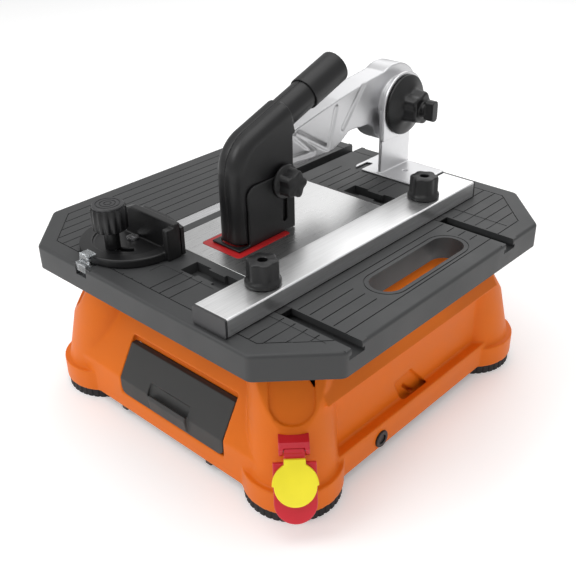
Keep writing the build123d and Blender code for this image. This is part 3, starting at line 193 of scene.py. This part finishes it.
ALONG_X = (0.02, 1, 1)
ALONG_Y = (1, 0.02, 1)
finishes = {
    "orange_plastic": dict(colour=(0.78, 0.165, 0.006), specular=0.22, roughness=0.46, variation=0.04),
    "table_plastic": dict(colour=(0.037, 0.038, 0.039), roughness=0.5, bump=0.2, grain=1100),
    "satin_plate": dict(colour=(0.62, 0.62, 0.62), roughness=0.3, metallic=1.0, brushed=ALONG_Y, bump=0.05),
    "red_insert": dict(colour=(0.42, 0.01, 0.012), roughness=0.4),
    "black_plastic": dict(colour=(0.005, 0.005, 0.0055), roughness=0.4, bump=0.1),
    "drawer_plastic": dict(colour=(0.032, 0.032, 0.031), roughness=0.55, bump=0.2),
    "grey_plastic": dict(colour=(0.03, 0.03, 0.032), roughness=0.45),
    "foot_rubber": dict(colour=(0.012, 0.012, 0.013), roughness=0.75, bump=0.3),
    "bracket_steel": dict(colour=(0.72, 0.72, 0.73), roughness=0.36, metallic=1.0, bump=0.06),
    "arm_aluminium": dict(colour=(0.66, 0.66, 0.67), roughness=0.38, metallic=1.0, bump=0.1, grain=900),
    "fence_aluminium": dict(
        colour=(0.95, 0.95, 0.95), roughness=0.32, metallic=1.0, brushed=ALONG_Y, bump=0.05
    ),
    "miter_head_paint": dict(colour=(0.005, 0.005, 0.0055), roughness=0.42, bump=0.15),
    "bar_steel": dict(colour=(0.75, 0.75, 0.76), roughness=0.25, metallic=1.0, brushed=ALONG_Y, bump=0.05),
    "fastener_steel": dict(colour=(0.5, 0.5, 0.52), roughness=0.35, metallic=1.0, bump=0.05),
    "drive_steel": dict(colour=(0.5, 0.5, 0.52), roughness=0.35, metallic=1.0, brushed=ALONG_X, bump=0.08),
    "bronze": dict(colour=(0.45, 0.25, 0.09), roughness=0.5, metallic=1.0),
    "carbon": dict(colour=(0.02, 0.02, 0.02), roughness=0.6),
    "gearbox_aluminium": dict(colour=(0.42, 0.42, 0.43), roughness=0.55, metallic=1.0, bump=0.3),
    "motor_can": dict(colour=(0.02, 0.02, 0.02), roughness=0.5),
    "red_plastic": dict(colour=(0.6, 0.014, 0.03), roughness=0.34),
    "yellow_plastic": dict(colour=(0.93, 0.8, 0.02), roughness=0.4),
    "clear_pointer": dict(colour=(0.8, 0.83, 0.85), roughness=0.08, bump=0.02),
}
# One material for each finish, named as the finish.
materials = {name: material(name, **finish) for name, finish in finishes.items()}
clear = materials["clear_pointer"].node_tree.nodes["Principled BSDF"]
clear.inputs["Transmission Weight"].default_value = 0.85
clear.inputs["IOR"].default_value = 1.49

# ---- Building blocks ----


def new_object(name, bm):
    mesh = bpy.data.meshes.new(name)
    bm.normal_update()
    bm.to_mesh(mesh)
    bm.free()
    made = bpy.data.objects.new(name, mesh)
    bpy.context.scene.collection.objects.link(made)
    return made


def cad_copy(node):
    """A free copy of a CAD node's mesh, with its doubled corners joined."""
    bm = bmesh.new()
    bm.from_mesh(frame["nodes"][node].data)
    bmesh.ops.remove_doubles(bm, verts=bm.verts, dist=1e-6)
    return new_object("copy", bm)


AXIS_ORDER = {
    "x": lambda h, a, b: (h, a, b),
    "y": lambda h, a, b: (a, h, b),
    "z": lambda h, a, b: (a, b, h),
}


def prism(axis, low, high, outline):
    """Closed outline from low to high along an axis, in mm: y and z across x, x and z across y, x and y
    across z. The axis may also be a function of height and the outline's two numbers."""
    bm = bmesh.new()
    order = AXIS_ORDER.get(axis, axis)
    rings = [[bm.verts.new(place(*order(h, a, b))) for a, b in outline] for h in (low, high)]
    count = len(outline)
    for i in range(count):
        j = (i + 1) % count
        bm.faces.new((rings[0][i], rings[0][j], rings[1][j], rings[1][i]))
    bm.faces.new(rings[0])
    bm.faces.new(rings[1])
    bmesh.ops.recalc_face_normals(bm, faces=bm.faces)
    return new_object("prism", bm)


def frame_of(direction):
    """Two directions square to the given one, and that one as a unit vector."""
    direction = Vector(direction).normalized()
    helper = Vector((0, 0, 1)) if abs(direction.z) < 0.9 else Vector((1, 0, 0))
    first = helper.cross(direction).normalized()
    return first, direction.cross(first), direction


def turned(start, direction, profile, segments=72, lobe=None):
    """Body of revolution: profile is (radius, distance along direction) pairs in mm, closed on the axis.
    lobe gives a factor on the radius for an angle, a distance and the radius."""
    first, second, along = frame_of(direction)
    bm = bmesh.new()
    origin = Vector(start)
    rings = []
    for radius, height in profile:
        if radius <= 1e-6:
            rings.append([bm.verts.new(place(*(origin + along * height)))])
            continue
        ring = []
        for i in range(segments):
            angle = 2 * math.pi * i / segments
            r = radius * (lobe(angle, height, radius) if lobe else 1)
            point = origin + along * height + (first * math.cos(angle) + second * math.sin(angle)) * r
            ring.append(bm.verts.new(place(*point)))
        rings.append(ring)
    for low, high in zip(rings, rings[1:]):
        for i in range(segments):
            j = (i + 1) % segments
            corners = [low[i % len(low)], low[j % len(low)], high[j % len(high)], high[i % len(high)]]
            face = list(dict.fromkeys(corners))
            if len(face) > 2:
                bm.faces.new(face)
    for ring, flip in ((rings[0], True), (rings[-1], False)):
        if len(ring) > 1:
            bm.faces.new(reversed(ring) if flip else ring)
    bmesh.ops.recalc_face_normals(bm, faces=bm.faces)
    return new_object("turned", bm)


def rod(start, end, radius):
    """Rod with rounded ends."""
    start, end = Vector(start), Vector(end)
    length = (end - start).length
    steps = [math.radians(15 * i) for i in range(7)]
    profile = [(radius * math.sin(a), -radius * math.cos(a)) for a in steps]
    profile += [(radius * math.cos(a), length + radius * math.sin(a)) for a in steps]
    profile[0] = (0, -radius)
    profile[-1] = (0, length + radius)
    return turned(start, end - start, profile, segments=32)


def arc(cx, cy, radius, start, end, steps=12):
    """Points on an arc between two angles in degrees."""
    angles = [math.radians(start + (end - start) * i / steps) for i in range(steps + 1)]
    return [(cx + radius * math.cos(a), cy + radius * math.sin(a)) for a in angles]


def rounded(x0, x1, y0, y1, radius, steps=8):
    """Rectangle with rounded corners."""
    return (
        arc(x1 - radius, y1 - radius, radius, 0, 90, steps)
        + arc(x0 + radius, y1 - radius, radius, 90, 180, steps)
        + arc(x0 + radius, y0 + radius, radius, 180, 270, steps)
        + arc(x1 - radius, y0 + radius, radius, 270, 360, steps)
    )


def settle(obj):
    """Applies an object's modifiers to its mesh."""
    graph = bpy.context.evaluated_depsgraph_get()
    mesh = bpy.data.meshes.new_from_object(obj.evaluated_get(graph))
    obj.modifiers.clear()
    old = obj.data
    obj.data = mesh
    bpy.data.meshes.remove(old)


def cut(obj, *cutters):
    """Takes the cutters away from a mesh and discards them."""
    for cutter in cutters:
        change = obj.modifiers.new("cut", "BOOLEAN")
        change.operation = "DIFFERENCE"
        change.solver = "EXACT"
        change.object = cutter
        settle(obj)
        discard(cutter)
    return obj


def discard(obj):
    mesh = obj.data
    bpy.data.objects.remove(obj)
    bpy.data.meshes.remove(mesh)


def gather(*parts):
    """Joins meshes into the first one, overlapping."""
    bm = bmesh.new()
    for part in parts:
        bm.from_mesh(part.data)
    bm.to_mesh(parts[0].data)
    bm.free()
    for part in parts[1:]:
        discard(part)
    return parts[0]


def soften(obj, voxel, rounds, share=0.4):
    """Melts overlapping solids into one skin and rounds its edges, as a moulding's are."""
    melt = obj.modifiers.new("melt", "REMESH")
    melt.mode = "VOXEL"
    melt.voxel_size = voxel * MM
    ease = obj.modifiers.new("ease", "SMOOTH")
    ease.factor = 0.5
    ease.iterations = rounds
    thin = obj.modifiers.new("thin", "DECIMATE")
    thin.ratio = share
    settle(obj)
    return obj


def bevelled(obj, width, steps=3, limit=30):
    """Bevels a mesh's sharp edges by a width in mm."""
    edge = obj.modifiers.new("bevel", "BEVEL")
    edge.width = width * MM
    edge.segments = steps
    edge.limit_method = "ANGLE"
    edge.angle_limit = math.radians(limit)
    settle(obj)
    return obj


def piece(obj, name, body, finish, *nodes, sharp=35):
    """Names a finished mesh, gives it its material, and fixes it to its body."""
    obj.name = name
    obj.data.name = name
    obj.data.materials.clear()
    obj.data.materials.append(materials[finish])
    obj.data.polygons.foreach_set("use_smooth", [True] * len(obj.data.polygons))
    obj.data.set_sharp_from_angle(angle=math.radians(sharp))
    obj.data.update()
    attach(obj, body)
    if nodes:
        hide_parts(*nodes)
    return obj


# ---- Base ----

LEG_X, LEG_Y = 139.5, 151
SLOPE = math.radians(30)
WALL_Y, WALL_KINK = -190, -134
DRAWER_X = (-66, 87)
DRAWER_Z = (-153, -100)
PANEL_X = 163
BACKING_DEPTH = 11
POCKET_DEPTH = 3.4
SLOT_DEPTH = 8


def wall_line(depth, low, high):
    """The front wall's line at a depth below its surface, from low up to high, as y and z."""
    kink = WALL_KINK - depth * math.tan(SLOPE / 2)
    y = WALL_Y + depth
    return [(y, low), (y, kink), (y + (high - kink) * math.tan(SLOPE), high)]


def corner_fill(x, inward, radius=8):
    """Rounds a lower corner of the drawer's pocket."""
    low = DRAWER_Z[0]
    steps = arc(x + inward * radius, low + radius, radius, 270, 270 - inward * 90, 8)
    return prism("y", WALL_Y + 0.2, WALL_Y + 8, [(x - inward, low - 1), *steps, (x - inward, low + radius)])


def make_housing():
    shell = cad_copy("base_housing")
    shell = gather(shell, corner_fill(DRAWER_X[0], 1), corner_fill(DRAWER_X[1], -1))
    backings = []
    for side in (-1, 1):
        # A shallow pocket with a slanted slot in each recessed side panel, over a thicker part of the wall.
        # The wall and its backing are cut apart and joined after, as a cut through overlapping solids fails.
        low, high = sorted((side * (PANEL_X - BACKING_DEPTH), side * (PANEL_X - 1)))
        backing = prism("x", low, high, [(-36, -166), (42, -166), (42, -110), (-36, -110)])
        pocket = [(-26.9, -121.5), (0.8, -118.6), (32.9, -153.9), (4.6, -157), (-13, -149.6)]
        slot = [(-9.6, -136), (-6.6, -134.6), (12.6, -153.6), (9.6, -155.4)]
        for outline, depth in ((pocket, POCKET_DEPTH), (slot, SLOT_DEPTH)):
            low, high = sorted((side * (PANEL_X - depth), side * (PANEL_X + 4)))
            cut(shell, prism("x", low, high, outline))
            cut(backing, prism("x", low, high, outline))
        backings.append(backing)
    shell = gather(shell, *backings)
    soften(shell, voxel=1.3, rounds=4, share=0.35)
    piece(shell, "housing_shell", "saw", "orange_plastic", "base_housing", sharp=60)


def make_drawer():
    low, high = DRAWER_Z[0] + 0.4, DRAWER_Z[1]
    outer = wall_line(0, low, high)
    inner = wall_line(5.4, low, high)
    face = prism("x", DRAWER_X[0] + 0.4, DRAWER_X[1] - 0.4, [*outer, *reversed(inner)])
    for x, inward in ((DRAWER_X[0] + 0.4, 1), (DRAWER_X[1] - 0.4, -1)):
        steps = arc(x + inward * 8, low + 8, 8, 270, 270 - inward * 90, 8)
        corner = [(x - inward * 3, low - 3), *steps, (x - inward * 3, low + 8)]
        cut(face, prism("y", WALL_Y - 2, WALL_Y + 10, corner))
    # Finger pull: a crevice behind a rounded lip that grows out of the lower band.
    cut(face, prism("x", -22, 37, [(-192, -133.5), (-184.8, -121.5), (-182.6, -124.5), (-188, -138)]))
    lip = [(-189, -151), (-191.6, -149), (-193.6, -136), (-192.4, -131.6), (-190, -132.5), (-187, -141)]
    face = gather(face, prism("x", -17, 37.5, lip))
    soften(face, voxel=0.7, rounds=5, share=0.5)
    piece(face, "drawer_face", "drawer", "drawer_plastic", "drawer_front", sharp=50)


# ---- Arm, hood and dust tube ----

ARM_FACE_X = -6
ARM_CHANNELS = (
    ((138, 121), (95, 70)),
    ((83, 96), (70, 54), (22, 84)),
    ((18, 82), (47, 57), (8, 60)),
)


def channel(start, end, radius=4.6, sink=2.9):
    """Cutter for a pressed channel with rounded ends, in the arm's outer face."""
    x = ARM_FACE_X + sink
    return rod((x, *start), (x, *end), radius)


def make_arm():
    arm = cad_copy("support_arm")
    for points in ARM_CHANNELS:
        cut(arm, *(channel(start, end) for start, end in zip(points, points[1:])))
    soften(arm, voxel=1.0, rounds=9, share=0.45)
    piece(arm, "arm_pressing", "arm", "arm_aluminium", "support_arm", sharp=60)


def make_hood():
    for name in ("hood_left", "hood_right"):
        half = cad_copy(name)
        soften(half, voxel=0.8, rounds=5, share=0.5)
        piece(half, f"{name}_shell", "arm", "black_plastic", name, sharp=50)


# ---- Knobs ----


def lobed(count, depth, low, high, inner=8):
    """Lobes that fade in between two distances along the knob, outside an inner radius."""

    def factor(angle, height, radius):
        fade = min(1, max(0, (height - low) / (high - low)))
        return 1 + (depth * math.cos(count * angle) * fade if radius > inner else 0)

    return factor


def make_fence_knobs():
    profile = [(0, 0), (15.6, 0), (16.4, 0.7), (16.4, 3.6), (15.9, 4.5), (14.4, 6.0), (13.9, 7.2)]
    profile += [(13.6, 21.2), (13.1, 22.4), (12.0, 23), (5.2, 23), (4.5, 22.3), (4.5, 18.5), (0, 18.5)]
    for end, y in (("front", -140), ("rear", 100)):
        knob = turned((98.4, y, 18.6), (0, 0, 1), profile, 96, lobed(6, 0.075, 4.5, 8))
        name = f"fence_knob_{end}"
        piece(knob, f"{name}_lobed", name, "black_plastic", name, sharp=40)


def make_hold_down_knob():
    profile = [(0, 0), (16.6, 0), (17.4, 0.6), (17.4, 2.0), (16.8, 2.8), (14.5, 3.6), (13.2, 4.6)]
    profile += [(12.6, 15.6), (12.2, 16.8), (11, 17.6), (0, 17.6)]
    knob = turned((19.9, -26.5, 55), (1, 0, 0), profile, 100, lobed(5, 0.13, 2.8, 5))
    piece(knob, "hold_down_knob_lobed", "hold_down_knob", "black_plastic", "hold_down_knob", sharp=40)


def make_arm_knob():
    centre = (0, 187, 76.5)
    profile = [(0, 8), (33.2, 8), (34, 8.8), (34, 10.6), (33, 11.6), (20.5, 17.4), (18.4, 19.4)]
    profile += [(17.2, 32.0), (16.4, 33.6), (14.6, 34.4), (9.6, 34.4), (9, 35.4), (8.8, 39.4), (0, 39.6)]
    knob = turned(centre, (1, 0, 0), profile, 120, lobed(5, 0.1, 13, 19, 10))
    tip = prism("x", 38, 49.8, rounded(182, 192, 64.8, 88.2, 4.2))
    knob = gather(knob, tip)
    soften(knob, voxel=0.7, rounds=4, share=0.5)
    piece(knob, "arm_knob_lobed", "arm_lock_knob", "black_plastic", "arm_lock_knob", sharp=50)


def make_miter_knob():
    stem = [(0, 6.4), (7.5, 6.4), (7.5, 26), (9, 27)]
    grip = [(16.2, 27), (17, 27.9), (17, 49), (16.3, 50), (0, 50)]
    knob = turned((-76, -170, 0), (0, 0, 1), stem + grip, 192, lobed(16, 0.035, 26.5, 27.5, 12))
    piece(knob, "miter_knob_fluted", "miter_knob", "black_plastic", "miter_knob", sharp=40)


# ---- Stop switch ----

CORNER_OUT = Vector((1, -1, 0)).normalized()
CORNER_ACROSS = Vector((1, 1, 0)).normalized()
PADDLE_TILT = math.radians(27)
PADDLE_NORMAL = CORNER_OUT * math.cos(PADDLE_TILT) + Vector((0, 0, math.sin(PADDLE_TILT)))
PADDLE_UP = PADDLE_NORMAL.cross(CORNER_ACROSS).normalized()
if PADDLE_UP.z < 0:
    PADDLE_UP = -PADDLE_UP
PADDLE_TOP = Vector((LEG_X, -LEG_Y, -100)) + CORNER_OUT * 44


def on_paddle(height, across, up):
    return PADDLE_TOP + PADDLE_NORMAL * height + CORNER_ACROSS * across + PADDLE_UP * up


def make_key():
    drop = -31
    outline = arc(0, drop, 20.3, 0, 62, 10) + [(9.4, -12.5), (9.4, -8), (-9.4, -8), (-9.4, -12.5)]
    outline += arc(0, drop, 20.3, 118, 180, 10) + [(-18.6, drop)] + arc(0, drop, 18.6, 185, 355, 24)
    outline += [(18.6, drop)]
    key = prism(on_paddle, 0.3, 5.3, outline)
    bevelled(key, 0.7)
    stem = prism(on_paddle, -5.6, 0.6, arc(0, drop, 3.9, 0, 345, 23))
    key = gather(key, stem)
    piece(key, "key_disc", "safety_key", "yellow_plastic", "safety_key", sharp=40)


# ---- Pieces rounded as they are in CAD ----

ROUNDED = (
    ("arm_bracket", "saw", 0.8, 5),
    ("miter_head", "miter_head", 0.7, 4),
    ("stop_paddle", "stop_paddle", 0.6, 4),
    ("switch_frame", "saw", 0.5, 3),
    ("dust_sleeve", "arm", 0.6, 3),
    ("hold_down_foot", "hold_down", 0.6, 3),
)


def make_rounded():
    for name, body, voxel, rounds in ROUNDED:
        copy = cad_copy(name)
        soften(copy, voxel, rounds, 0.5)
        piece(copy, f"{name}_skin", body, slots[name], name, sharp=50)


slots = {row["node"]: row["material_slot"] for row in frame["record"]["subparts"]}
for name, node in frame["nodes"].items():
    node.data.materials.clear()
    node.data.materials.append(materials[slots[name]])

make_housing()
make_drawer()
make_arm()
make_hood()
make_fence_knobs()
make_hold_down_knob()
make_arm_knob()
make_miter_knob()
make_key()
make_rounded()
